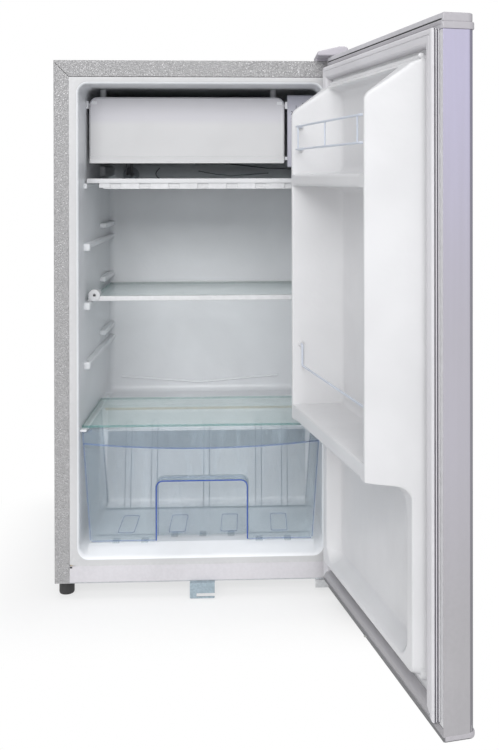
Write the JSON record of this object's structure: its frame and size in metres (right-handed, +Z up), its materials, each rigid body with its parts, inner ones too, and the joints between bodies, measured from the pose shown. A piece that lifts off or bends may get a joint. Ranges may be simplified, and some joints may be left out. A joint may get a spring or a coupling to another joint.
{
  "type": "mini fridge",
  "caption": "Compact single-door refrigerator with inner freezer flap, glass shelf, drip tray, crisper and door racks, door stored open.",
  "frame": {"origin": "on the floor at the centre of the four feet, under the middle of the cabinet", "axes": "-Y towards the front of the cabinet, +X towards the hinge side, +Z up; the door is stored open by 102.4 degrees"},
  "size_m": [0.5668, 0.9002, 0.866],
  "materials": {
    "case_steel": "leather-grain embossed silver lacquer",
    "back_sheet": "plain grey pre-coated sheet",
    "insulation": "rigid polyurethane foam",
    "liner_white": "thermoformed polystyrene, satin",
    "beam_white": "white lacquer",
    "galvanised": "galvanised sheet",
    "compressor_black": "black lacquer",
    "rubber_dark": "moulded rubber",
    "bolt_zinc": "zinc plated",
    "black_plastic": "fine texture",
    "condenser_black": "black lacquer on steel tube and wire",
    "copper": "drawn copper, slightly dull",
    "evaporator_alu": "roll-bonded sheet",
    "white_plastic": "moulded, satin",
    "flap_plastic": "moulded, satin",
    "thermo_grey": "light grey moulding",
    "glass_green": "clear float glass with green edge",
    "hinge_steel": "zinc plated",
    "cover_grey": "light grey moulding",
    "strike_zinc": "blue-tinted zinc plate",
    "foot_black": "charcoal moulding",
    "tube_white": "extruded tube",
    "plug_grey": "grommet rubber",
    "door_lilac": "smooth silver-lilac lacquer",
    "door_liner_white": "thermoformed polystyrene, satin",
    "cap_grey": "light grey moulding",
    "gasket_grey": "soft extruded vinyl with magnet strip",
    "wire_chrome": "pale grey coated wire",
    "lock_metal": "nickel plated",
    "crisper_blue": "clear blue tinted polystyrene",
    "tray_white": "moulded, satin",
    "trim_white": "moulded, gloss",
    "knob_white": "moulded, satin",
    "sensor_steel": "fine steel tube"
  },
  "bodies": {
    "cabinet": {"outer_case": "case_steel", "back_panel": "back_sheet", "cabinet_foam": "insulation", "inner_liner": "liner_white", "bottom_beam": "beam_white", "base_plate": "galvanised", "bay_bulkhead": "galvanised", "compressor": "compressor_black", "compressor_grommets": "rubber_dark", "compressor_bolts": "bolt_zinc", "relay_cover": "black_plastic", "condenser_coil": "condenser_black", "condenser_wires": "condenser_black", "condenser_brackets": "black_plastic", "filter_drier": "copper", "capillary_tube": "copper", "suction_tube": "copper", "evaporator_box": "evaporator_alu", "evaporator_hangers": "white_plastic", "tube_entry_plug": "plug_grey", "flap_bearings": "white_plastic", "flap_catch": "white_plastic", "thermostat_housing": "thermo_grey", "thermostat_body": "sensor_steel", "sensor_capillary": "sensor_steel", "crisper_glass": "glass_green", "top_hinge_bracket": "hinge_steel", "top_hinge_cover": "cover_grey", "hinge_screws": "bolt_zinc", "bottom_hinge_bracket": "hinge_steel", "lock_strike": "strike_zinc", "rear_feet": "foot_black", "power_inlet": "rubber_dark", "evaporation_pan": "black_plastic", "drain_tube": "tube_white"},
    "door": {"door_skin": "door_lilac", "door_foam": "insulation", "door_liner": "door_liner_white", "door_cap_top": "cap_grey", "door_cap_bottom": "cap_grey", "door_gasket": "gasket_grey", "upper_rack_rail": "wire_chrome", "lower_rack_rail": "wire_chrome", "rail_eyelets": "door_liner_white", "hinge_bushes": "white_plastic"},
    "lock": {"lock_cylinder": "lock_metal", "lock_cam": "bolt_zinc"},
    "flap": {"freezer_flap": "flap_plastic"},
    "knob": {"thermostat_knob": "knob_white"},
    "crisper": {"crisper_drawer": "crisper_blue"},
    "shelf": {"shelf_glass": "glass_green", "shelf_front_trim": "trim_white", "shelf_rear_trim": "trim_white"},
    "tray": {"drip_tray": "tray_white"},
    "foot_left": {"levelling_foot_left": "foot_black"},
    "foot_right": {"levelling_foot_right": "foot_black"}
  },
  "joints": [
    {"name": "door_swing", "type": "hinge", "parent": "cabinet", "child": "door", "pos_m": [0.218, -0.233, 0.435], "axis": [0, 0, 1], "range_deg": [-102.4, 17.6]},
    {"name": "lock_turn", "type": "hinge", "parent": "door", "child": "lock", "pos_m": [0.25823, -0.42996, 0.0275], "axis": [-0.9767, -0.2147, 0], "range_deg": [0, 105]},
    {"name": "flap_swing", "type": "hinge", "parent": "cabinet", "child": "flap", "pos_m": [-0.026, -0.1225, 0.783], "axis": [-1, 0, 0], "range_deg": [0, 85]},
    {"name": "thermostat_turn", "type": "hinge", "parent": "cabinet", "child": "knob", "pos_m": [0.1655, -0.127, 0.764], "axis": [0, 1, 0], "range_deg": [0, 300]},
    {"name": "crisper_slide", "type": "slide", "parent": "cabinet", "child": "crisper", "axis": [0, -1, 0], "range_m": [0, 0.15]},
    {"name": "shelf_slide", "type": "slide", "parent": "cabinet", "child": "shelf", "axis": [0, -1, 0], "range_m": [0, 0.1]},
    {"name": "tray_slide", "type": "slide", "parent": "cabinet", "child": "tray", "axis": [0, -1, 0], "range_m": [0, 0.09]},
    {"name": "foot_left_turn", "type": "hinge", "parent": "cabinet", "child": "foot_left", "pos_m": [-0.216, -0.174, 0.012], "axis": [0, 0, 1], "continuous": true},
    {"name": "foot_right_turn", "type": "hinge", "parent": "cabinet", "child": "foot_right", "pos_m": [0.216, -0.174, 0.012], "axis": [0, 0, 1], "continuous": true}
  ]
}
